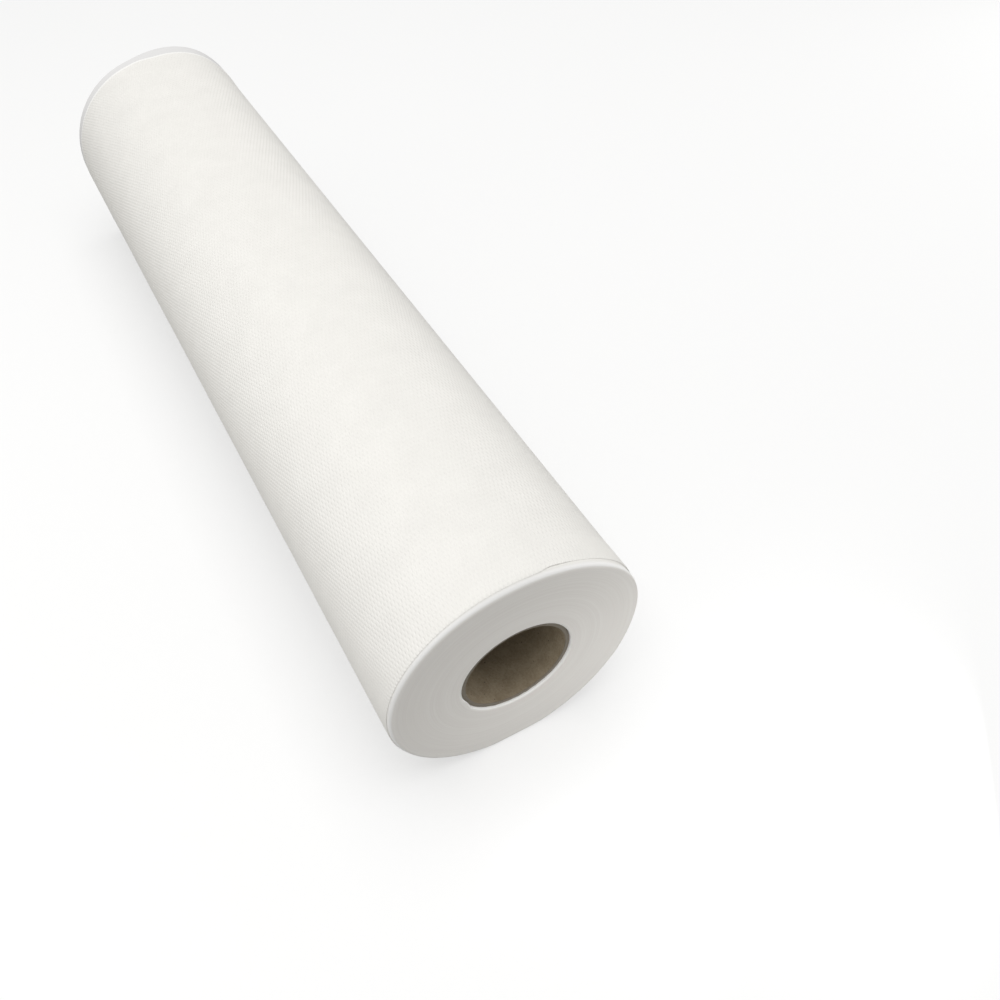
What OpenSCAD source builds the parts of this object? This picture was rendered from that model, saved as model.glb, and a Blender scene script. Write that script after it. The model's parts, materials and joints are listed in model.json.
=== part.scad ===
// Roll of embossed examination table paper on a cardboard core, lying on its side.
// The roll's axis runs along Y and its near end faces -Y. The origin is under the middle
// of the roll, on the surface that it lies on.

/* [Paper] */
// Width of the paper web, which is the length of the roll
web_width = 500; // [250:10:700]
// Outer diameter of the full roll
roll_diameter = 120; // [90:1:180]
// Radius of the soft outer rim of each end
rim_radius = 2.4; // [0.5:0.1:4]
// Radius of the soft edge around the bore at each end
bore_edge_radius = 1.5; // [0.5:0.1:3]
// Height by which the soft roll has settled flat where it lies
flat_sink = 1.5; // [0.5:0.1:4]

/* [Turns] */
// Distance from one turn to the next on the end faces, drawn coarser than the thin paper
turn_pitch = 3; // [2.5:0.1:6]
// Depth of the groove between two turns
turn_groove_depth = 0.35; // [0.2:0.05:0.8]
// Width of the groove between two turns
turn_groove_width = 0.6; // [0.3:0.05:1.2]

/* [Outermost wrap] */
// Height of the step down from the cut tail of the loose outermost wrap
wrap_step = 0.4; // [0.2:0.05:0.8]
// Least height of that wrap over the turns beneath it
wrap_rise = 0.15; // [0.1:0.05:0.5]
// How far the wrap stops short of the near end
wrap_setback_near = 1.9; // [0.5:0.1:8]
// How far the wrap stops short of the far end
wrap_setback_far = 4; // [0.5:0.1:8]
// How far its strayed stretch, next to the tail, stops short of the near end
wrap_setback_strayed = 4.3; // [0.5:0.1:8]
// Clockwise angle from the top, seen from the near end, where that stretch begins
strayed_from_angle = 15; // [0:1:120]
// Clockwise angle from the top, seen from the near end, of the cut tail of the paper
tail_angle = 135; // [125:1:160]

/* [Core] */
// Bore of the cardboard core, which a dispenser's rod goes through
core_bore = 48; // [25:0.5:55]
// Wall of the cardboard core
core_wall = 2; // [1:0.1:4]
// How far the core's cut ends lie inside the ends of the roll
core_recess = 1.2; // [0.5:0.1:5]
// Clearance between the core and the first turn around it
core_fit = 0.1; // [0.05:0.05:0.3]

/* [Hidden] */
$fn = 96;

roll_radius = roll_diameter / 2;
wrap_height = wrap_step + wrap_rise;
wound_radius = roll_radius - wrap_height;
axis_height = roll_radius - flat_sink;
core_radius = core_bore / 2 + core_wall;
core_length = web_width - 2 * core_recess;
paper_bore_radius = core_radius + core_fit;

// The spiral is drawn from half turns whose centres lie half a pitch apart
turns_outer_radius = wound_radius - rim_radius - turn_groove_width;
turns_inner_radius = paper_bore_radius + bore_edge_radius + turn_groove_width;
half_turn_step = turn_pitch / 2;
half_turns = floor((turns_outer_radius - turns_inner_radius) / half_turn_step);

// Steps in which the soft edges are rounded
rim_steps = 5;
bore_edge_steps = 3;

// Room that a cutting shape takes beyond the surface that it cuts
cut_over = 1;

// Turns a shape made upright around Z onto its side, with its top end facing -Y
module laid_on_its_side() {
    translate([0, 0, axis_height])
        rotate([90, 0, 0])
            children();
}

// Turns a shape about the upright axis, so that +X comes to a clockwise angle from the roll's top
module turned_to(angle) {
    rotate([0, 0, 90 - angle])
        children();
}

// Both ends of an upright shape that is drawn for the end at half the web's width
module at_both_ends() {
    children();
    mirror([0, 0, 1])
        children();
}

// Points of one rounded corner of the wound paper's half section, a quarter round in steps
function corner_points(middle, radius, from_angle, steps) = [
    for (i = [0 : steps])
        let (angle = from_angle + 90 * i / steps)
            middle + radius * [cos(angle), sin(angle)]
];

// Half section of the wound paper, with soft edges at the bore and at the rim
module wound_section() {
    bore_x = paper_bore_radius + bore_edge_radius;
    bore_y = web_width / 2 - bore_edge_radius;
    rim_x = wound_radius - rim_radius;
    rim_y = web_width / 2 - rim_radius;
    polygon(concat(
        corner_points([rim_x, rim_y], rim_radius, 0, rim_steps),
        corner_points([bore_x, bore_y], bore_edge_radius, 90, bore_edge_steps),
        corner_points([bore_x, -bore_y], bore_edge_radius, 180, bore_edge_steps),
        corner_points([rim_x, -rim_y], rim_radius, 270, rim_steps)
    ));
}

// Half section of the groove between two turns, cut into an end face at the given radius
module groove_section(radius) {
    over_width = turn_groove_width * (turn_groove_depth + cut_over) / turn_groove_depth;
    translate([radius, web_width / 2])
        polygon([
            [0, -turn_groove_depth],
            [over_width / 2, cut_over],
            [-over_width / 2, cut_over]
        ]);
}

// One continuous spiral groove, which shows the turns on an end face
module spiral_groove() {
    for (i = [0 : half_turns - 1]) {
        lower_half = i % 2;
        translate([-lower_half * half_turn_step, 0, 0])
            rotate([0, 0, 180 * lower_half])
                rotate_extrude(angle = 180)
                    groove_section(turns_outer_radius - i * half_turn_step);
    }
}

// One half turn of the outermost wrap as a solid half round bar, on the side of +Y
module wrap_half(radius) {
    wrap_length = web_width - wrap_setback_near - wrap_setback_far;
    intersection() {
        translate([0, 0, wrap_setback_far - web_width / 2])
            cylinder(r = radius, h = wrap_length);
        translate([-roll_diameter, 0, -web_width])
            cube([2 * roll_diameter, roll_diameter, 2 * web_width]);
    }
}

// The strayed stretch of the wrap's near edge, as the ring sector that it leaves bare
module strayed_edge() {
    rotate_extrude(angle = tail_angle - strayed_from_angle)
        translate([wound_radius, web_width / 2 - wrap_setback_strayed])
            square([wrap_height + cut_over, wrap_setback_strayed + cut_over]);
}

// The loose outermost wrap, which runs out at the tail as a step along the roll
module outermost_wrap() {
    difference() {
        union() {
            wrap_half(roll_radius);
            translate([-wrap_step / 2, 0, 0])
                rotate([0, 0, 180])
                    wrap_half(roll_radius - wrap_step / 2);
        }
        strayed_edge();
        translate([0, 0, -web_width])
            cylinder(r = paper_bore_radius + bore_edge_radius, h = 2 * web_width);
    }
}

// The wound paper, one solid: all turns, the loose wrap with its tail, and the flat spot
module paper_roll() {
    color("#f3f2ee")
        difference() {
            laid_on_its_side()
                turned_to(tail_angle) {
                    difference() {
                        rotate_extrude()
                            wound_section();
                        at_both_ends()
                            spiral_groove();
                    }
                    outermost_wrap();
                }
            translate([-roll_diameter, -web_width, -roll_diameter])
                cube([2 * roll_diameter, 2 * web_width, roll_diameter]);
        }
}

// The core, a tube of wound grey board
module core() {
    color("#8b8070")
        laid_on_its_side()
            difference() {
                cylinder(r = core_radius, h = core_length, center = true);
                cylinder(r = core_bore / 2, h = core_length + 2 * cut_over, center = true);
            }
}

paper_roll();
core();
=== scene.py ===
# Roll of embossed examination table paper on a grey board core, lying on its side.
import json
import math

import bmesh
import bpy
import numpy as np
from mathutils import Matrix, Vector


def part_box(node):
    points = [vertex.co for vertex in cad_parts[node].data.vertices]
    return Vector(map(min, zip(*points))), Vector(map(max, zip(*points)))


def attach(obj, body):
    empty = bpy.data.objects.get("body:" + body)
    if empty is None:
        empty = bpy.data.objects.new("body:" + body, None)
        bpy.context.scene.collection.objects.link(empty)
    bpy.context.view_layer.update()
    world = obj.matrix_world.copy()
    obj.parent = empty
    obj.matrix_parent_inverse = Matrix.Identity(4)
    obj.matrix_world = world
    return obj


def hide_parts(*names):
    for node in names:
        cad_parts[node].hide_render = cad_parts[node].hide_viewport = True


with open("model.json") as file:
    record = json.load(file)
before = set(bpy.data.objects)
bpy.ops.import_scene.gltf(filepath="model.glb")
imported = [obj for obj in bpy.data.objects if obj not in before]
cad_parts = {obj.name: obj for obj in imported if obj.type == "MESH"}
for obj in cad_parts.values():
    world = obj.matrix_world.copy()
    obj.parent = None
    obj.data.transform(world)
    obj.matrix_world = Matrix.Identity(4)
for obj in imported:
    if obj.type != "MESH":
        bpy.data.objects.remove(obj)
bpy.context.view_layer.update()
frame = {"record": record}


# The board core. A tube of recycled grey board, wound from strips and glue on a mandrel and
# cut to length with a round blade, which leaves its two ends a little rough and fluffy. The
# paper's first turn is glued round it, and its ends lie just inside the ends of the roll.
MM = 0.001
mounts = {mount["name"]: mount for mount in frame["record"]["mounts"]}
core_low, core_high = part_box("core")
axis_height = (core_low.z + core_high.z) / 2
core_outer = (core_high.z - core_low.z) / 2
core_inner = mounts["core_bore"]["dims"]["r_mm"] * MM
core_half = (core_high.y - core_low.y) / 2
core_edge = 0.25 * MM
core_edge_steps = 3
core_roughness = 0.12 * MM
core_columns = 192
core_rows = 60
cloud_size = 6.25 * MM
flake_size = 1.111 * MM
speck_size = 1.429 * MM
flake_relief = 0.12 * MM
cut_colour_from = 0.5 * MM
cut_colour_full = 0.2 * MM
BOARD_PALE = "#9C8F79"
BOARD_DARK = "#847660"
BOARD_CUT = "#7B7468"
BOARD_SPECK = "#5A4E42"


def linear(hex_colour):
    """A linear colour with alpha from an sRGB hex code."""
    parts = [int(hex_colour[i:i + 2], 16) / 255 for i in (1, 3, 5)]
    return [c / 12.92 if c <= 0.04045 else ((c + 0.055) / 1.055) ** 2.4 for c in parts] + [1]


def add(tree, kind, *inputs, by_name=None, **settings):
    """Adds a node with its settings, and sets or links its inputs, in their order or by name. A
    node that is given as an input stands for its first output, and None leaves an input alone."""
    node = tree.nodes.new(kind)
    for name, value in settings.items():
        setattr(node, name, value)
    given = list(zip([socket for socket in node.inputs if socket.enabled], inputs))
    given += [(node.inputs[name], value) for name, value in (by_name or {}).items()]
    for socket, value in given:
        if isinstance(value, bpy.types.Node):
            value = next(output for output in value.outputs if output.enabled)
        if isinstance(value, bpy.types.NodeSocket):
            tree.links.new(value, socket)
        elif value is not None:
            socket.default_value = value
    return node


def arc(middle_radius, middle_along, radius, from_angle, to_angle, steps):
    """Points of a rounded edge of a half section, as pairs of radius and place along the roll."""
    angles = np.radians(np.linspace(from_angle, to_angle, steps + 1))
    return [(middle_radius + radius * math.cos(a), middle_along + radius * math.sin(a)) for a in angles]


def wander(clock, waves, seed):
    """A smooth uneven line round the roll, between about -1 and 1, the same in each run."""
    random = np.random.default_rng(seed)
    total = np.zeros_like(clock)
    for wave in range(1, waves + 1):
        total += random.normal() * np.sin(wave * clock + random.uniform(0, 2 * math.pi))
    return total / math.sqrt(waves)


def turned_ring(name, section, columns, shift):
    """A closed ring of faces from a closed half section, whose points shift() may move."""
    section = np.array(section)
    clock = np.linspace(0, 2 * math.pi, columns, endpoint=False)[None, :]
    radius, along = shift(section[:, :1], section[:, 1:], clock)
    radius, along, clock = np.broadcast_arrays(radius, along, clock)
    places = np.stack([radius * np.sin(clock), along, axis_height + radius * np.cos(clock)], axis=-1)
    rows = len(section)
    here = np.arange(rows * columns).reshape(rows, columns)
    right = np.roll(here, -1, axis=1)
    faces = np.stack([here, right, np.roll(right, -1, axis=0), np.roll(here, -1, axis=0)], axis=-1)
    mesh = bpy.data.meshes.new(name)
    mesh.from_pydata(places.reshape(-1, 3).tolist(), [], faces.reshape(-1, 4).tolist())
    return finished_mesh(mesh)


def finished_mesh(mesh, sharp_angle=50):
    """Turns the faces outwards and shades them smooth, apart from the edges over an angle."""
    shape = bmesh.new()
    shape.from_mesh(mesh)
    bmesh.ops.recalc_face_normals(shape, faces=shape.faces)
    shape.to_mesh(mesh)
    shape.free()
    mesh.shade_smooth()
    mesh.set_sharp_from_angle(angle=math.radians(sharp_angle))
    return mesh


def placed(mesh, material=None):
    """An object at the origin that shows the mesh."""
    piece = bpy.data.objects.new(mesh.name, mesh)
    bpy.context.scene.collection.objects.link(piece)
    if material:
        mesh.materials.append(material)
    return piece


def cut_ends(radius, along, clock):
    """The blade's rough cut moves the ends of the tube by about a tenth of a millimetre."""
    cut = np.abs(along) > core_half - 2 * core_edge
    far_rough = wander(clock, waves=40, seed=3) * (along > 0)
    near_rough = wander(clock, waves=40, seed=4) * (along < 0)
    rough = far_rough + near_rough
    return radius + 0 * clock, along - np.sign(along) * cut * core_roughness * (1 + rough) / 2


def blank_material(name):
    """A new material with an empty tree."""
    material = bpy.data.materials.new(name)
    material.use_nodes = True
    material.node_tree.nodes.clear()
    return material


# Grey board is pressed from waste paper pulp. It is matt and brown-grey, with darker and paler
# flakes of a millimetre or so and a few fine specks of ink, and its cut ends are darker.
def grey_board():
    material = blank_material("recycled_grey_board")
    tree = material.node_tree
    place = add(tree, "ShaderNodeTexCoord").outputs["Object"]
    clouds = add(tree, "ShaderNodeTexNoise", place, 1 / cloud_size, 4, 0.6)
    flakes = add(tree, "ShaderNodeTexNoise", place, 1 / flake_size, 3, 0.7)
    specks = add(tree, "ShaderNodeTexNoise", place, 1 / speck_size, 1, 0.5)
    mixed = add(tree, "ShaderNodeMath", clouds, flakes, operation="ADD")
    share = add(tree, "ShaderNodeMapRange", mixed, 0.75, 1.25)
    board = add(tree, "ShaderNodeMix", share, linear(BOARD_DARK), linear(BOARD_PALE), data_type="RGBA")
    dark = add(tree, "ShaderNodeMapRange", specks, 0.72, 0.80)
    speckled = add(tree, "ShaderNodeMix", dark, board, linear(BOARD_SPECK), data_type="RGBA")
    along = add(tree, "ShaderNodeSeparateXYZ", place).outputs["Y"]
    length = add(tree, "ShaderNodeMath", along, operation="ABSOLUTE")
    from_end = add(tree, "ShaderNodeMath", core_half, length, operation="SUBTRACT")
    cut = add(tree, "ShaderNodeMapRange", from_end, cut_colour_from, cut_colour_full)
    colour = add(tree, "ShaderNodeMix", cut, speckled, linear(BOARD_CUT), data_type="RGBA")
    relief = add(tree, "ShaderNodeBump", 1, flake_relief, None, flakes)
    finish = {"Base Color": colour, "Roughness": 0.92, "IOR": 1.45, "Normal": relief}
    shader = add(tree, "ShaderNodeBsdfPrincipled", by_name=finish)
    add(tree, "ShaderNodeOutputMaterial", shader)
    return material


core_middle_along = core_half - core_edge
core_section = (
    arc(core_outer - core_edge, core_middle_along, core_edge, 0, 90, core_edge_steps)
    + arc(core_inner + core_edge, core_middle_along, core_edge, 90, 180, core_edge_steps)
    + [(core_inner, y) for y in np.linspace(core_middle_along, -core_middle_along, core_rows)[1:-1]]
    + arc(core_inner + core_edge, -core_middle_along, core_edge, 180, 270, core_edge_steps)
    + arc(core_outer - core_edge, -core_middle_along, core_edge, 270, 360, core_edge_steps)
)
board = grey_board()
core_tube = placed(turned_ring("core_tube", core_section, core_columns, cut_ends), board)
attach(core_tube, "root")
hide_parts("core")


# The wound paper. One web of soft two-ply tissue, about 50 m of it, wound on the core in some
# 180 turns. The slit edges of the turns make up the two end faces, where some turns stand out
# by a tenth of a millimetre, and the soft outermost turns are rounded over at the rim.
roll_low, roll_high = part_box("paper_roll")
roll_radius = roll_high.z - axis_height
roll_half = (roll_high.y - roll_low.y) / 2
near_end = -roll_half
core_fit = 0.1 * MM
bore_radius = core_outer + core_fit
rim_radius = 2.3 * MM
rim_radius_more = 0.8 * MM
rim_widest = math.radians(-15)
rim_tightest = math.radians(72)
rim_tight_spread = math.radians(42)
rim_tight_share = 0.68
far_rim_share = 0.6
rim_fade = 12 * MM
rim_steps = 12
bore_edge = 1.5 * MM
bore_edge_steps = 6
wrap_step = 0.4 * MM
wrap_thickness = 0.2 * MM
wrap_gap = 0.07 * MM
wound_radius = roll_radius - wrap_thickness - wrap_gap
tail_angle = math.radians(135)
lap_angle = math.radians(4)
dent_angle = math.radians(250)
dent_spread = math.radians(16)
dent_depth = 1.0 * MM
dent_full_to = 0.6 * MM
dent_ends_at = 1.1 * MM
slack_patch = 62.5 * MM
turn_columns = 288
turn_ring_gap = 0.3 * MM
body_rows = 40
line_pitch = 0.37 * MM
line_drift = 40 * MM
cut_fibre_size = 0.3333 * MM
cut_relief = 0.03 * MM
# Painted light on the rims: a painted highlight on the near rim, and painted shade on the bare turns beside
# the wrap's edge and on the far rim
rim_painted_light_from = 0.2 * MM
rim_painted_light_full = 0.5 * MM
bare_shade_from = 1.1 * MM
bare_shade_full = 2.0 * MM
RIM_HIGHLIGHT_WHITE = "#FDFCFA"
BARE_TURNS_SHADE = "#F0EEE9"
CUT_PALE = "#F1EFEA"
CUT_DARK = "#E6E2DD"
FAR_RIM_SHADE = "#E6E5E4"


def node_tree(name, inputs):
    """A tree that takes a mesh in and gives one out, with named inputs. Returns it and its inputs."""
    tree = bpy.data.node_groups.new(name, "GeometryNodeTree")
    tree.interface.new_socket("Geometry", in_out="INPUT", socket_type="NodeSocketGeometry")
    for label in inputs:
        kind = "NodeSocketMaterial" if label == "Material" else "NodeSocketFloat"
        tree.interface.new_socket(label, in_out="INPUT", socket_type=kind)
    tree.interface.new_socket("Geometry", in_out="OUTPUT", socket_type="NodeSocketGeometry")
    return tree, tree.nodes.new("NodeGroupInput").outputs


def shaped_by(piece, tree, values):
    """Gives the piece the plain mesh that the tree makes of it with these values."""
    modifier = piece.modifiers.new(tree.name, "NODES")
    modifier.node_group = tree
    for socket in tree.interface.items_tree:
        if socket.in_out == "INPUT" and socket.name in values:
            modifier[socket.identifier] = values[socket.name]
    depsgraph = bpy.context.evaluated_depsgraph_get()
    mesh = bpy.data.meshes.new_from_object(
        piece.evaluated_get(depsgraph), preserve_all_data_layers=True, depsgraph=depsgraph
    )
    mesh.name = piece.name
    piece.modifiers.remove(modifier)
    piece.data = mesh
    return finished_mesh(mesh)


roll_sizes = {
    "Roll Radius": roll_radius,
    "Axis Height": axis_height,
    "Bore Radius": bore_radius,
    "Wrap Step": wrap_step,
    "Tail Angle": tail_angle,
    "Near End": near_end,
    "Flat Softening": 1.2 * MM,
    "Near Bulge": 2.0 * MM,
    "Near Bulge Length": 90 * MM,
    "Near Bulge Angle": math.radians(58),
    "Near Bulge Spread": math.radians(45),
    "Far Bulge": 5.6 * MM,
    "Far Bulge Length": 100 * MM,
    "Far Bulge Angle": math.radians(31),
    "Far Bulge Spread": math.radians(47),
    "Near Taper": 0.2 * MM,
    "Top Taper": 1.1 * MM,
    "Taper Length": 6 * MM,
    "Top Taper Angle": math.radians(-2),
    "Top Taper Spread": math.radians(36),
    "Unevenness": 0.35 * MM,
}


def about_axis(tree, sizes):
    """A point's x and y, its height over the roll's axis, its distance from it, and its direction."""
    place = add(tree, "GeometryNodeInputPosition")
    apart = add(tree, "ShaderNodeSeparateXYZ", place).outputs
    height = add(tree, "ShaderNodeMath", apart["Z"], sizes["Axis Height"], operation="SUBTRACT")
    spoke = add(tree, "ShaderNodeCombineXYZ", apart["X"], 0, height)
    radius = add(tree, "ShaderNodeVectorMath", spoke, operation="LENGTH").outputs["Value"]
    direction = add(tree, "ShaderNodeVectorMath", spoke, operation="NORMALIZE")
    return apart["X"], apart["Y"], height, radius, direction


def hump(tree, clock, middle, spread):
    """A soft hump round the roll: 1 at a clock angle, and 0 from a spread away on."""
    off = add(tree, "ShaderNodeMath", clock, middle, operation="SUBTRACT")
    off = add(tree, "ShaderNodeMath", off, operation="ABSOLUTE")
    return add(tree, "ShaderNodeMapRange", off, spread, 0, interpolation_type="SMOOTHSTEP")


def settled_roll():
    """The soft roll's own weight presses it flat where it lies. Its loose outer turns bulge at the
    upper right of both ends and thin out towards the near end, most of all at the top. The inner
    turns stay round."""
    tree, sizes = node_tree("settled_roll", roll_sizes)
    x, y, height, radius, direction = about_axis(tree, sizes)
    upward = add(tree, "ShaderNodeSeparateXYZ", direction).outputs["Z"]
    clock = add(tree, "ShaderNodeMath", x, height, operation="ARCTAN2")

    # The outermost turn's own radius falls by one step in a full turn from the tail
    from_tail = add(tree, "ShaderNodeMath", sizes["Tail Angle"], clock, operation="SUBTRACT")
    turns = add(tree, "ShaderNodeMath", from_tail, 2 * math.pi, operation="DIVIDE")
    share = add(tree, "ShaderNodeMath", turns, operation="FRACT")
    fallen = add(tree, "ShaderNodeMath", share, sizes["Wrap Step"], operation="MULTIPLY")
    outer = add(tree, "ShaderNodeMath", sizes["Roll Radius"], fallen, operation="SUBTRACT")

    # The distance from the axis to the floor, which only the lowest turns reach. The least value
    # of down, well off the floor, keeps the divisor above 0
    down = add(tree, "ShaderNodeMath", upward, -1, operation="MULTIPLY")
    down = add(tree, "ShaderNodeMath", down, 0.2, operation="MAXIMUM")
    floor_distance = add(tree, "ShaderNodeMath", sizes["Axis Height"], down, operation="DIVIDE")
    pressed = add(
        tree, "ShaderNodeMath", outer, floor_distance, sizes["Flat Softening"], operation="SMOOTH_MIN"
    )
    sunk = add(tree, "ShaderNodeMath", outer, pressed, operation="SUBTRACT")

    # The turns near the core are wound tight and give little
    depth_share = add(tree, "ShaderNodeMapRange", radius, sizes["Bore Radius"], outer)
    softness = add(tree, "ShaderNodeMath", depth_share, 1.5, operation="POWER")
    sunk = add(tree, "ShaderNodeMath", sunk, softness, operation="MULTIPLY")

    # Each end's bulge fades out along the roll, and the taper bends down to the near end
    from_near = add(tree, "ShaderNodeMath", y, sizes["Near End"], operation="SUBTRACT")
    reversed_y = add(tree, "ShaderNodeMath", y, -1, operation="MULTIPLY")
    from_far = add(tree, "ShaderNodeMath", reversed_y, sizes["Near End"], operation="SUBTRACT")
    bulges = []
    for end, from_end in (("Near", from_near), ("Far", from_far)):
        fade = add(
            tree, "ShaderNodeMapRange", from_end, sizes[f"{end} Bulge Length"], 0,
            interpolation_type="SMOOTHSTEP",
        )
        round_roll = hump(tree, clock, sizes[f"{end} Bulge Angle"], sizes[f"{end} Bulge Spread"])
        bulge = add(tree, "ShaderNodeMath", round_roll, fade, operation="MULTIPLY")
        bulges.append(add(tree, "ShaderNodeMath", bulge, sizes[f"{end} Bulge"], operation="MULTIPLY"))
    at_top = hump(tree, clock, sizes["Top Taper Angle"], sizes["Top Taper Spread"])
    taper = add(
        tree, "ShaderNodeMath", at_top, sizes["Top Taper"], sizes["Near Taper"], operation="MULTIPLY_ADD"
    )
    by_rim = add(tree, "ShaderNodeMapRange", from_near, sizes["Taper Length"], 0)
    by_rim = add(tree, "ShaderNodeMath", by_rim, 2, operation="POWER")
    taper = add(tree, "ShaderNodeMath", taper, by_rim, operation="MULTIPLY")
    swollen = add(tree, "ShaderNodeMath", *bulges, operation="ADD")
    swollen = add(tree, "ShaderNodeMath", swollen, taper, operation="SUBTRACT")
    swollen = add(tree, "ShaderNodeMath", swollen, softness, operation="MULTIPLY")

    # The turns aren't drawn equally tight all along the roll, apart from where it lies
    ray = add(tree, "ShaderNodeVectorMath", direction, sizes["Roll Radius"], operation="SCALE")
    station = add(tree, "ShaderNodeCombineXYZ", 0, y, 0)
    spot = add(tree, "ShaderNodeVectorMath", ray, station, operation="ADD")
    slack = add(tree, "ShaderNodeTexNoise", spot, 1 / slack_patch, 1, 0.4)
    slack = add(tree, "ShaderNodeMath", slack, softness, operation="MULTIPLY")
    slack = add(tree, "ShaderNodeMath", slack, sizes["Unevenness"], operation="MULTIPLY")
    upper = add(tree, "ShaderNodeMapRange", upward, -0.9, -0.4)
    slack = add(tree, "ShaderNodeMath", slack, upper, operation="MULTIPLY")

    new_radius = add(tree, "ShaderNodeMath", radius, sunk, operation="SUBTRACT")
    new_radius = add(tree, "ShaderNodeMath", new_radius, swollen, operation="ADD")
    new_radius = add(tree, "ShaderNodeMath", new_radius, slack, operation="SUBTRACT")
    scaled = add(tree, "ShaderNodeVectorMath", direction, new_radius, operation="SCALE")
    axis_place = add(tree, "ShaderNodeCombineXYZ", 0, y, sizes["Axis Height"])
    new_place = add(tree, "ShaderNodeVectorMath", scaled, axis_place, operation="ADD")
    moved = add(tree, "GeometryNodeSetPosition", sizes["Geometry"], None, new_place)
    add(tree, "NodeGroupOutput", moved)
    return tree


settling = settled_roll()


def settle(tree, geometry, sizes):
    """Adds the settling of the roll to a tree, with the tree's own inputs."""
    group = tree.nodes.new("GeometryNodeGroup")
    group.node_tree = settling
    tree.links.new(geometry.outputs[0], group.inputs["Geometry"])
    for label in roll_sizes:
        tree.links.new(sizes[label], group.inputs[label])
    return group


end_sizes = {
    "Turn Relief": 0.02 * MM,
    "Telescoping": 0.12 * MM,
    "Turn Pitch": 0.6 * MM,
    "Face Edge": 0.6 * MM,
}


def wound_ends():
    """Moves the turns on both end faces in by small amounts that change from turn to turn and
    slowly round the roll, and keeps each point's wound radius for the paper's pattern."""
    tree, sizes = node_tree("wound_ends", [*roll_sizes, *end_sizes, "Material"])
    _, y, _, radius, direction = about_axis(tree, sizes)
    compass = add(tree, "ShaderNodeSeparateXYZ", direction).outputs
    side = add(tree, "ShaderNodeMath", y, operation="SIGN")
    length = add(tree, "ShaderNodeMath", y, operation="ABSOLUTE")
    from_end = add(tree, "ShaderNodeMath", length, -1, operation="MULTIPLY")
    from_end = add(tree, "ShaderNodeMath", from_end, sizes["Near End"], operation="SUBTRACT")
    on_face = add(
        tree, "ShaderNodeMapRange", from_end, sizes["Face Edge"], 0, interpolation_type="SMOOTHSTEP"
    )

    # The relief runs on the count of turns and slowly round the roll, differs between the two
    # faces, and is made of single turns and of bands of about six
    turn = add(tree, "ShaderNodeMath", radius, sizes["Turn Pitch"], operation="DIVIDE")
    face_offset = add(tree, "ShaderNodeMath", side, 7, operation="MULTIPLY")
    around_x = add(tree, "ShaderNodeMath", compass["X"], 0.9, operation="MULTIPLY")
    around_z = add(tree, "ShaderNodeMath", compass["Z"], face_offset, operation="ADD")
    by_turn = add(tree, "ShaderNodeCombineXYZ", turn, around_x, around_z)
    fine = add(tree, "ShaderNodeTexNoise", by_turn, 1, 0, 0.5)
    coarse = add(tree, "ShaderNodeTexNoise", by_turn, 0.17, 2, 0.6)
    fine = add(tree, "ShaderNodeMath", fine, sizes["Turn Relief"], operation="MULTIPLY")
    coarse = add(tree, "ShaderNodeMath", coarse, sizes["Telescoping"], operation="MULTIPLY")
    inward = add(tree, "ShaderNodeMath", fine, coarse, operation="ADD")
    inward = add(tree, "ShaderNodeMath", inward, on_face, operation="MULTIPLY")
    inward = add(tree, "ShaderNodeMath", inward, side, operation="MULTIPLY")
    inward = add(tree, "ShaderNodeMath", inward, -1, operation="MULTIPLY")
    shift = add(tree, "ShaderNodeCombineXYZ", 0, inward, 0)
    moved = add(tree, "GeometryNodeSetPosition", sizes["Geometry"], None, None, shift)
    marked = add(
        tree, "GeometryNodeStoreNamedAttribute", moved, None, "wound_radius", radius,
        data_type="FLOAT", domain="POINT",
    )
    settled = settle(tree, marked, sizes)
    real = add(tree, "GeometryNodeRealizeInstances", settled)
    dressed = add(tree, "GeometryNodeSetMaterial", real, None, sizes["Material"])
    add(tree, "NodeGroupOutput", dressed)
    return tree
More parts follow.
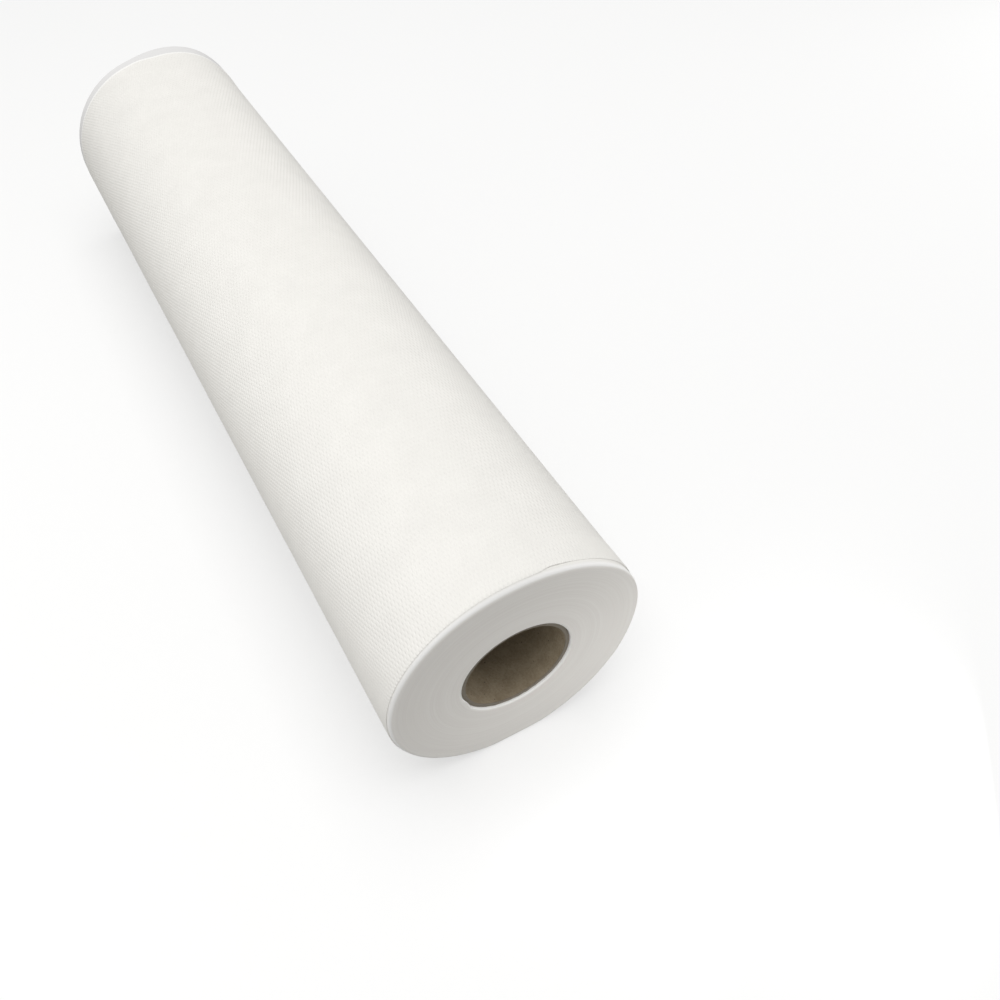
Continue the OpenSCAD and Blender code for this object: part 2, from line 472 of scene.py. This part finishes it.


# Cut tissue is matt and soft white. The slit edges of the turns show as fine lines round the
# core, too fine for the eye at arm's length, so they are drawn two turns to a line. The rims,
# where the turns lie open, are plain and smooth, and their colours are painted light: the near
# rim is painted whiter as a painted highlight, the bare turns beside the wrap's edge take a
# painted shade, and the far rim is painted grey as a painted shade.
def cut_paper():
    material = blank_material("slit_tissue_edges")
    tree = material.node_tree
    radius = add(tree, "ShaderNodeAttribute", attribute_name="wound_radius").outputs["Fac"]
    place = add(tree, "ShaderNodeTexCoord").outputs["Object"]
    line = add(tree, "ShaderNodeMath", radius, 1 / line_pitch, operation="MULTIPLY")
    slow = add(tree, "ShaderNodeVectorMath", place, 1 / line_drift, operation="SCALE")

    # Single lines, and bands of about eight
    by_line = add(tree, "ShaderNodeCombineXYZ", line, 0, 0)
    by_line = add(tree, "ShaderNodeVectorMath", by_line, slow, operation="ADD")
    lines = add(tree, "ShaderNodeTexNoise", by_line, 1, 1, 0.6)
    bands = add(tree, "ShaderNodeTexNoise", by_line, 0.12, 2, 0.6)
    fibres = add(tree, "ShaderNodeTexNoise", place, 1 / cut_fibre_size, 2, 0.6)
    tone = add(tree, "ShaderNodeMath", lines, bands, operation="ADD")
    share = add(tree, "ShaderNodeMapRange", tone, 0.4, 1.6)
    cut = add(tree, "ShaderNodeMix", share, linear(CUT_DARK), linear(CUT_PALE), data_type="RGBA")

    along = add(tree, "ShaderNodeSeparateXYZ", place).outputs["Y"]
    length = add(tree, "ShaderNodeMath", along, operation="ABSOLUTE")
    from_end = add(tree, "ShaderNodeMath", roll_half, length, operation="SUBTRACT")
    # Painted light: the near rim is painted whiter as a painted highlight, the bare turns beside the wrap's
    # edge take a painted shade, and the far rim is painted grey as a painted shade
    on_rim = add(tree, "ShaderNodeMapRange", from_end, rim_painted_light_from, rim_painted_light_full)
    far_half = add(tree, "ShaderNodeMath", along, 0, operation="GREATER_THAN")
    bare = add(tree, "ShaderNodeMapRange", from_end, bare_shade_from, bare_shade_full)
    near_rim_painted_light = add(tree, "ShaderNodeMix", bare, linear(RIM_HIGHLIGHT_WHITE), linear(BARE_TURNS_SHADE), data_type="RGBA")
    rim = add(tree, "ShaderNodeMix", far_half, near_rim_painted_light, linear(FAR_RIM_SHADE), data_type="RGBA")
    colour = add(tree, "ShaderNodeMix", on_rim, cut, rim, data_type="RGBA")
    relief = add(tree, "ShaderNodeMath", fibres, 0.4, operation="MULTIPLY")
    relief = add(tree, "ShaderNodeMath", relief, lines, operation="ADD")
    bump = add(tree, "ShaderNodeBump", 1, cut_relief, None, relief)
    finish = {
        "Base Color": colour,
        "Roughness": 0.95,
        "IOR": 1.45,
        "Specular IOR Level": 0.3,
        "Normal": bump,
    }
    shader = add(tree, "ShaderNodeBsdfPrincipled", by_name=finish)
    add(tree, "ShaderNodeOutputMaterial", shader)
    return material


def smooth_step(value, start, end):
    """Rises from 0 at the start to 1 at the end, with soft bends."""
    share = np.clip((value - start) / (end - start), 0, 1)
    return share * share * (3 - 2 * share)


def rim_reach(clock, along):
    """How far the rounded rim reaches: most at the upper left, and at the near end little at the
    right, where the roll bulges. The far end's rim is tighter by one share all round."""
    off_tightest = np.abs(clock - rim_tightest)
    tight = rim_tight_share * smooth_step(off_tightest, rim_tight_spread, 0)
    reach = rim_radius + rim_radius_more * np.cos(clock - rim_widest)
    return reach * np.where(along < 0, 1 - tight, far_rim_share)


def stretched(distance, reach, fade):
    """Stretches the rim's own distances to its reach, and evens them out over the fade."""
    beyond = reach + (distance - rim_radius) * (fade - reach) / (fade - rim_radius)
    beyond = np.where(distance < fade, beyond, distance)
    return np.where(distance > rim_radius, beyond, distance * reach / rim_radius)


def under_wrap(radius, along, clock):
    """Fits the outer turns under the outermost wrap, which climbs by one step to its tail, rounds
    the rim, and presses the first turn in over the core's end at the lower left of the bore."""
    reach = rim_reach(clock, along)
    radius = wound_radius - stretched(wound_radius - radius, reach, rim_fade)
    along = np.sign(along) * (roll_half - stretched(roll_half - np.abs(along), reach, rim_fade))

    # The outer turns follow the step, and those near the core stay round
    share = ((radius - bore_radius) / (wound_radius - bore_radius)) ** 4
    from_tail = (tail_angle - clock) % (2 * math.pi)
    under_lap = 1 - smooth_step(from_tail, lap_angle, 5 * lap_angle)
    fallen = wrap_step * (from_tail / (2 * math.pi) + under_lap)

    off_dent = np.abs((clock - dent_angle + math.pi) % (2 * math.pi) - math.pi)
    dent = 1 - smooth_step(off_dent, 0, dent_spread)
    at_mouth = smooth_step(-along, roll_half - dent_ends_at, roll_half - dent_full_to)
    at_bore = 1 - smooth_step(radius, bore_radius + bore_edge, bore_radius + 3 * bore_edge)
    return radius - share * fallen - dent_depth * dent * at_mouth * at_bore, along + 0 * clock


bore_middle = bore_radius + bore_edge
rim_middle = wound_radius - rim_radius
face_rings = round((rim_middle - bore_middle) / turn_ring_gap)
face_radii = np.linspace(bore_middle, rim_middle, face_rings + 1)[1:-1]
body_stations = np.linspace(roll_half - rim_radius, rim_radius - roll_half, body_rows + 1)[1:-1]
turns_section = (
    arc(rim_middle, roll_half - rim_radius, rim_radius, 0, 90, rim_steps)
    + [(radius, roll_half) for radius in face_radii[::-1]]
    + arc(bore_middle, roll_half - bore_edge, bore_edge, 90, 180, bore_edge_steps)
    + [(bore_radius, station) for station in body_stations]
    + arc(bore_middle, bore_edge - roll_half, bore_edge, 180, 270, bore_edge_steps)
    + [(radius, -roll_half) for radius in face_radii]
    + arc(rim_middle, rim_radius - roll_half, rim_radius, 270, 360, rim_steps)
    + [(wound_radius, station) for station in body_stations[::-1]]
)
cut_edges = cut_paper()
wound_turns = placed(turned_ring("wound_turns", turns_section, turn_columns, under_wrap))
shaped_by(wound_turns, wound_ends(), {**roll_sizes, **end_sizes, "Material": cut_edges})
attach(wound_turns, "root")
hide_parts("paper_roll")


# The outermost wrap. The last turn of the same web lies loose on the roll, with its embossing
# in full view: rows of fine oval pits, pressed in between two steel rollers, each row half a
# pit on from the last. It stops short of both ends, and its near edge strays by some 2.5 mm.
pit_pitch = 1.883 * MM
pit_depth = 0.13 * MM
row_pitch_wanted = 2.463 * MM
wrap_near_setback = 1.9 * MM
wrap_far_setback = 8.5 * MM
wrap_width = 2 * roll_half - wrap_near_setback - wrap_far_setback
pit_rows = round(wrap_width / row_pitch_wanted)
row_pitch = wrap_width / pit_rows
half_pits = round((2 * math.pi + lap_angle) * roll_radius / (pit_pitch / 2))
edge_rows = 5
fibre_size = 0.4 * MM
grain_height = 0.02 * MM
tone_patch = 16.67 * MM
# The wrap's far edge is painted whiter, a painted highlight
edge_highlight_from = 1.9 * MM
edge_highlight_full = 1.2 * MM
TISSUE_PALE = "#F3F1EC"
TISSUE_DARK = "#EFEDE8"
TISSUE_EDGE_HIGHLIGHT = "#FAF9F6"

wrap_sizes = {
    "Wrap Width": wrap_width,
    "Near Edge": near_end + wrap_near_setback,
    "Pit Pitch": pit_pitch,
    "Row Pitch": row_pitch,
    "Pit Depth": pit_depth,
    "Tail Lift": 0.35 * MM,
    "Lifted Length": 9 * MM,
    "First Stray": 0.9 * MM,
    "First Stray From": math.radians(8),
    "First Stray To": math.radians(15),
    "Second Stray": 1.5 * MM,
    "Second Stray From": math.radians(18),
    "Second Stray To": math.radians(85),
    "Far Stray": 3.5 * MM,
    "Far Stray From": math.radians(-10),
    "Far Stray To": math.radians(6),
    "Strayed Length": 30 * MM,
    "Raised Edge": 0.2 * MM,
    "Raised Length": 7 * MM,
    "Raised Angle": math.radians(17),
    "Raised Spread": math.radians(11),
    "Thinned Edge": 0.14 * MM,
    "Thinned Length": 1 * MM,
    "Thinned From": math.radians(20),
    "Thinned To": math.radians(45),
    "Far Flare": 0.25 * MM,
    "Flare Length": 4 * MM,
    "Flare Spread": math.radians(120),
    "Rim Radius": rim_radius,
    "Rim Radius More": rim_radius_more,
    "Rim Widest": rim_widest,
    "Rim Tightest": rim_tightest,
    "Rim Tight Spread": rim_tight_spread,
    "Tightest Rim Share": 1 - rim_tight_share,
    "Far Rim Share": far_rim_share,
}


def flat_web():
    """The last turn of the web, laid out flat: a closed sheet with a point at each pit and at
    each rise between two pits, and a plain underside. Its faces part along the rises. The rows
    lie closer together by both edges, which bend over the rims."""
    near_rows = [0, 0.5, 1, 1.5]
    far_rows = [pit_rows - row for row in reversed(near_rows)]
    row_places = np.array([*near_rows, *range(2, pit_rows - 1), *far_rows])
    columns, rows = half_pits + 1, len(row_places)
    along, across = np.meshgrid(
        np.arange(columns) * pit_pitch / 2, row_places * row_pitch, indexing="ij"
    )
    top = np.stack([along, across, 0 * along], axis=-1)
    under_rows = [*range(edge_rows), *range(rows - edge_rows, rows)]
    bottom = top[:, under_rows] - [0, 0, wrap_thickness]
    number = np.arange(columns * rows).reshape(columns, rows)
    under = columns * rows + np.arange(columns * len(under_rows)).reshape(columns, -1)
    faces = []
    for i in range(half_pits):
        for j in range(rows - 1):
            a, b, c, d = number[i, j], number[i + 1, j], number[i + 1, j + 1], number[i, j + 1]
            on_pit = (i + j) % 2 == 0
            faces += [(a, b, d), (b, c, d)] if on_pit else [(a, b, c), (a, c, d)]
        for j in range(len(under_rows) - 1):
            faces.append((under[i, j], under[i, j + 1], under[i + 1, j + 1], under[i + 1, j]))
        faces.append((number[i, 0], under[i, 0], under[i + 1, 0], number[i + 1, 0]))
        faces.append((number[i, -1], number[i + 1, -1], under[i + 1, -1], under[i, -1]))
    faces.append([*number[0], *under[0, ::-1]])
    faces.append([*number[-1], *under[-1, ::-1]])
    mesh = bpy.data.meshes.new("outer_wrap")
    places = np.concatenate([top.reshape(-1, 3), bottom.reshape(-1, 3)])
    mesh.from_pydata(places.tolist(), [], [[int(n) for n in face] for face in faces])
    return mesh


def pit_waves(tree, along, across, pitch_along, pitch_across):
    """The waves of the embossing on the flat web: 1 in the middle of a pit and -1 on a rise. A
    pit lies where the waves along and across are both at a crest or both in a trough."""
    waves = []
    for place, pitch, turn in ((along, pitch_along, 2 * math.pi), (across, pitch_across, math.pi)):
        count = add(tree, "ShaderNodeMath", place, pitch, operation="DIVIDE")
        phase = add(tree, "ShaderNodeMath", count, turn, operation="MULTIPLY")
        waves.append(add(tree, "ShaderNodeMath", phase, operation="COSINE"))
    return add(tree, "ShaderNodeMath", *waves, operation="MULTIPLY")


def embossed_wrap():
    """Presses the pits into the flat web and winds it onto the roll from its tail, with the
    radius falling by one step in a turn, and keeps the flat place for the paper's pattern. The
    near edge strays, rises a little past the top and lies close at the right. The far edge is
    drawn in from the top on."""
    tree, sizes = node_tree("embossed_wrap", [*roll_sizes, *wrap_sizes, "Material"])
    flat_place = add(tree, "GeometryNodeInputPosition")
    flat = add(tree, "ShaderNodeSeparateXYZ", flat_place).outputs
    kept = add(
        tree, "GeometryNodeStoreNamedAttribute", sizes["Geometry"], None, "web", flat_place,
        data_type="FLOAT2", domain="CORNER",
    )
    turned = add(tree, "ShaderNodeMath", flat["X"], sizes["Roll Radius"], operation="DIVIDE")
    clock = add(tree, "ShaderNodeMath", sizes["Tail Angle"], turned, operation="SUBTRACT")
    from_far_edge = add(tree, "ShaderNodeMath", sizes["Wrap Width"], flat["Y"], operation="SUBTRACT")

    waves = pit_waves(tree, flat["X"], flat["Y"], sizes["Pit Pitch"], sizes["Row Pitch"])
    pit = add(tree, "ShaderNodeMath", waves, 0, operation="MAXIMUM")
    pit = add(tree, "ShaderNodeMath", pit, sizes["Pit Depth"], operation="MULTIPLY")
    on_top = add(tree, "ShaderNodeMath", flat["Z"], -wrap_thickness / 2, operation="GREATER_THAN")
    pit = add(tree, "ShaderNodeMath", pit, on_top, operation="MULTIPLY")

    fallen = add(tree, "ShaderNodeMath", turned, sizes["Wrap Step"], operation="MULTIPLY")
    fallen = add(tree, "ShaderNodeMath", fallen, 2 * math.pi, operation="DIVIDE")
    lift = add(
        tree, "ShaderNodeMapRange", flat["X"], sizes["Lifted Length"], 0, 0, sizes["Tail Lift"],
        interpolation_type="SMOOTHSTEP",
    )
    radius = add(tree, "ShaderNodeMath", sizes["Roll Radius"], flat["Z"], operation="ADD")
    radius = add(tree, "ShaderNodeMath", radius, fallen, operation="SUBTRACT")
    radius = add(tree, "ShaderNodeMath", radius, pit, operation="SUBTRACT")
    radius = add(tree, "ShaderNodeMath", radius, lift, operation="ADD")

    # Each edge strays along the roll between two clock angles, and the web behind it less and less
    first_stray, second_stray, far_stray = [
        add(
            tree, "ShaderNodeMapRange", clock, sizes[f"{name} From"], sizes[f"{name} To"], 0, sizes[name],
            interpolation_type="SMOOTHSTEP",
        )
        for name in ("First Stray", "Second Stray", "Far Stray")
    ]
    near_part, far_part = [
        add(
            tree, "ShaderNodeMapRange", from_edge, sizes["Strayed Length"], 0,
            interpolation_type="SMOOTHSTEP",
        )
        for from_edge in (flat["Y"], from_far_edge)
    ]
    near_stray = add(tree, "ShaderNodeMath", first_stray, second_stray, operation="ADD")
    near_stray = add(tree, "ShaderNodeMath", near_stray, near_part, operation="MULTIPLY")
    far_stray = add(tree, "ShaderNodeMath", far_stray, far_part, operation="MULTIPLY")
    y = add(tree, "ShaderNodeMath", flat["Y"], sizes["Near Edge"], operation="ADD")
    y = add(tree, "ShaderNodeMath", y, near_stray, operation="ADD")
    y = add(tree, "ShaderNodeMath", y, far_stray, operation="SUBTRACT")

    # The near edge stands up in one place, and its top face thins out at the right
    at_edge = add(tree, "ShaderNodeMapRange", flat["Y"], sizes["Raised Length"], 0, 0, sizes["Raised Edge"])
    round_roll = hump(tree, clock, sizes["Raised Angle"], sizes["Raised Spread"])
    raised = add(tree, "ShaderNodeMath", round_roll, at_edge, operation="MULTIPLY")
    radius = add(tree, "ShaderNodeMath", radius, raised, operation="ADD")
    at_edge = add(
        tree, "ShaderNodeMapRange", flat["Y"], sizes["Thinned Length"], 0, 0, sizes["Thinned Edge"]
    )
    thinned = add(tree, "ShaderNodeMath", at_edge, on_top, operation="MULTIPLY")
    at_right = add(tree, "ShaderNodeMapRange", clock, sizes["Thinned From"], sizes["Thinned To"])
    thinned = add(tree, "ShaderNodeMath", thinned, at_right, operation="MULTIPLY")
    radius = add(tree, "ShaderNodeMath", radius, thinned, operation="SUBTRACT")

    # The reach of the rounded rim is the one that rim_reach() gives the turns beneath
    off_widest = add(tree, "ShaderNodeMath", clock, sizes["Rim Widest"], operation="SUBTRACT")
    more = add(tree, "ShaderNodeMath", off_widest, operation="COSINE")
    more = add(tree, "ShaderNodeMath", more, sizes["Rim Radius More"], operation="MULTIPLY")
    reach = add(tree, "ShaderNodeMath", more, sizes["Rim Radius"], operation="ADD")
    off_tightest = add(tree, "ShaderNodeMath", clock, sizes["Rim Tightest"], operation="SUBTRACT")
    off_tightest = add(tree, "ShaderNodeMath", off_tightest, operation="ABSOLUTE")
    near_share = add(
        tree, "ShaderNodeMapRange", off_tightest, 0, sizes["Rim Tight Spread"],
        sizes["Tightest Rim Share"], 1, interpolation_type="SMOOTHSTEP",
    )
    on_far_half = add(tree, "ShaderNodeMath", y, 0, operation="GREATER_THAN")
    end_share = add(tree, "ShaderNodeMix", on_far_half, near_share, sizes["Far Rim Share"])
    reach = add(tree, "ShaderNodeMath", reach, end_share, operation="MULTIPLY")

    # The wrap's edges lie down over the rounded rims, and the far edge flares up a little
    length = add(tree, "ShaderNodeMath", y, operation="ABSOLUTE")
    past_rim = add(tree, "ShaderNodeMath", length, sizes["Near End"], operation="ADD")
    past_rim = add(tree, "ShaderNodeMath", past_rim, reach, operation="ADD")
    past_rim = add(tree, "ShaderNodeMath", past_rim, 0, operation="MAXIMUM")
    past_square = add(tree, "ShaderNodeMath", past_rim, 2, operation="POWER")
    reach_square = add(tree, "ShaderNodeMath", reach, 2, operation="POWER")
    left = add(tree, "ShaderNodeMath", reach_square, past_square, operation="SUBTRACT")
    left = add(tree, "ShaderNodeMath", left, operation="SQRT")
    radius = add(tree, "ShaderNodeMath", radius, reach, operation="SUBTRACT")
    radius = add(tree, "ShaderNodeMath", radius, left, operation="ADD")
    at_edge = add(
        tree, "ShaderNodeMapRange", from_far_edge, sizes["Flare Length"], 0, 0, sizes["Far Flare"]
    )
    round_roll = hump(tree, clock, 0, sizes["Flare Spread"])
    flare = add(tree, "ShaderNodeMath", at_edge, round_roll, operation="MULTIPLY")
    radius = add(tree, "ShaderNodeMath", radius, flare, operation="ADD")

    sine = add(tree, "ShaderNodeMath", clock, operation="SINE")
    cosine = add(tree, "ShaderNodeMath", clock, operation="COSINE")
    x = add(tree, "ShaderNodeMath", radius, sine, operation="MULTIPLY")
    rise = add(tree, "ShaderNodeMath", radius, cosine, operation="MULTIPLY")
    z = add(tree, "ShaderNodeMath", rise, sizes["Axis Height"], operation="ADD")
    wound_place = add(tree, "ShaderNodeCombineXYZ", x, y, z)
    wound = add(tree, "GeometryNodeSetPosition", kept, None, wound_place)
    settled = settle(tree, wound, sizes)
    real = add(tree, "GeometryNodeRealizeInstances", settled)
    dressed = add(tree, "GeometryNodeSetMaterial", real, None, sizes["Material"])
    add(tree, "NodeGroupOutput", dressed)
    return tree


# Embossed two-ply tissue is matt and soft white. Each pit has a soft slope, shaded on the side
# away from the light, and between the pits the ground shows a fine grain of pressed fibres. The
# far edge, which stands up a little, is painted whiter, a painted highlight.
def embossed_tissue():
    material = blank_material("embossed_tissue")
    tree = material.node_tree
    web = add(tree, "ShaderNodeUVMap", uv_map="web")
    flat = add(tree, "ShaderNodeSeparateXYZ", web).outputs
    waves = pit_waves(tree, flat["X"], flat["Y"], pit_pitch, row_pitch)
    pit = add(tree, "ShaderNodeMapRange", waves, -0.2, 1, 0, -pit_depth, interpolation_type="SMOOTHSTEP")
    fibres = add(tree, "ShaderNodeTexNoise", web, 1 / fibre_size, 3, 0.65)
    grain = add(tree, "ShaderNodeMath", fibres, grain_height, operation="MULTIPLY")
    height = add(tree, "ShaderNodeMath", pit, grain, operation="ADD")
    bump = add(tree, "ShaderNodeBump", 1, 1, None, height)
    clouds = add(tree, "ShaderNodeTexNoise", web, 1 / tone_patch, 3, 0.6)
    share = add(tree, "ShaderNodeMapRange", clouds, 0.3, 0.7)
    tissue = add(tree, "ShaderNodeMix", share, linear(TISSUE_DARK), linear(TISSUE_PALE), data_type="RGBA")
    # A painted highlight: the web is painted whiter near its far edge, where it flares up
    from_far_edge = add(tree, "ShaderNodeMath", wrap_width, flat["Y"], operation="SUBTRACT")
    edge = add(tree, "ShaderNodeMapRange", from_far_edge, edge_highlight_from, edge_highlight_full)
    colour = add(tree, "ShaderNodeMix", edge, tissue, linear(TISSUE_EDGE_HIGHLIGHT), data_type="RGBA")
    finish = {
        "Base Color": colour,
        "Roughness": 0.9,
        "IOR": 1.45,
        "Specular IOR Level": 0.3,
        "Normal": bump,
    }
    shader = add(tree, "ShaderNodeBsdfPrincipled", by_name=finish)
    add(tree, "ShaderNodeOutputMaterial", shader)
    return material


outer_wrap = placed(flat_web())
shaped_by(outer_wrap, embossed_wrap(), {**roll_sizes, **wrap_sizes, "Material": embossed_tissue()})
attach(outer_wrap, "root")
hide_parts("paper_roll")


# The studio: a plain pale floor that keeps the roll's soft shadow, even light from all round, a
# wide soft lamp overhead, two at the left, one at the right, and three small ones low before the
# near end. The camera is held above that end and to its left. The floor reflects little light.
floor_half = 4.0
floor_white = 0.5
surround_light = 0.45
FLOOR_PALE = "#FAFAF9"
FLOOR_BOUNCE = "#848482"
WHITE = (1, 1, 1, 1)
camera_place = (-0.1100, -0.4304, 0.4077)
camera_down = math.radians(48.94)
camera_heading = math.radians(29.33)
camera_lens = 34.72
camera_sensor = 36


def white_to_camera(tree, shader, share):
    """Mixes plain white into a shader, for what the camera sees directly or in a gloss."""
    rays = add(tree, "ShaderNodeLightPath").outputs
    seen = add(tree, "ShaderNodeMath", rays["Is Camera Ray"], rays["Is Glossy Ray"], operation="MAXIMUM")
    seen = add(tree, "ShaderNodeMath", seen, rays["Is Transmission Ray"], operation="MAXIMUM")
    seen = add(tree, "ShaderNodeMath", seen, share, operation="MULTIPLY")
    return add(tree, "ShaderNodeMixShader", seen, shader, add(tree, "ShaderNodeEmission", WHITE, 1))


def soft_lamp(name, place, aim, size, watts):
    """A square soft lamp that shines from its place towards its aim."""
    data = bpy.data.lights.new(name, "AREA")
    data.shape = "SQUARE"
    data.size = size
    data.energy = watts
    lamp = bpy.data.objects.new(name, data)
    lamp.location = place
    lamp.rotation_euler = (Vector(aim) - Vector(place)).to_track_quat("-Z", "Y").to_euler()
    lamp.visible_camera = False
    bpy.context.scene.collection.objects.link(lamp)


def pale_floor():
    """A matt floor that the camera sees pale, and that gives the roll little light from below."""
    material = blank_material("pale_floor")
    tree = material.node_tree
    direct = add(tree, "ShaderNodeLightPath").outputs["Is Camera Ray"]
    colour = add(tree, "ShaderNodeMix", direct, linear(FLOOR_BOUNCE), linear(FLOOR_PALE), data_type="RGBA")
    matt = add(tree, "ShaderNodeBsdfDiffuse", colour)
    add(tree, "ShaderNodeOutputMaterial", white_to_camera(tree, matt, floor_white))
    return material


floor_mesh = bpy.data.meshes.new("floor")
corners = [(-floor_half, -floor_half, 0), (floor_half, -floor_half, 0)]
corners += [(floor_half, floor_half, 0), (-floor_half, floor_half, 0)]
floor_mesh.from_pydata(corners, [], [(0, 1, 2, 3)])
placed(floor_mesh, pale_floor())

world = bpy.data.worlds.new("studio_surround")
bpy.context.scene.world = world
world.use_nodes = True
world.node_tree.nodes.clear()
surround = add(world.node_tree, "ShaderNodeBackground", WHITE, surround_light)
add(world.node_tree, "ShaderNodeOutputWorld", white_to_camera(world.node_tree, surround, 1))

# Each lamp's name, place, aim, size in metres and watts
soft_lamp("overhead_lamp", (-0.05, -0.14, 2.0), (-0.05, -0.14, 0), 2.0, 27.2)
soft_lamp("left_front_lamp", (-0.60, -0.38, 0.11), (0, -0.25, 0.06), 0.2, 0.56)
soft_lamp("left_back_lamp", (-0.75, 0.15, 0.16), (0, 0.10, 0.06), 0.3, 0.66)
soft_lamp("right_lamp", (0.88, 0.0, 0.22), (0, 0.0, 0.06), 0.4, 0.36)
soft_lamp("low_right_lamp", (0.17, -0.38, 0.05), (0.02, -0.25, 0.05), 0.08, 0.055)
soft_lamp("low_front_lamp", (0.08, -0.35, 0.03), (0.01, -0.25, 0.04), 0.05, 0.023)
soft_lamp("floor_lamp", (-0.005, -0.33, 0.016), (-0.005, -0.25, 0.016), 0.03, 0.005)

camera_data = bpy.data.cameras.new("camera")
camera_data.sensor_width = camera_sensor
camera_data.lens = camera_lens
camera_data.clip_start = 0.01
camera = bpy.data.objects.new("camera", camera_data)
camera.location = camera_place
camera.rotation_euler = (math.pi / 2 - camera_down, 0, -camera_heading)
bpy.context.scene.collection.objects.link(camera)
bpy.context.scene.camera = camera
bpy.context.scene.view_settings.view_transform = "Standard"
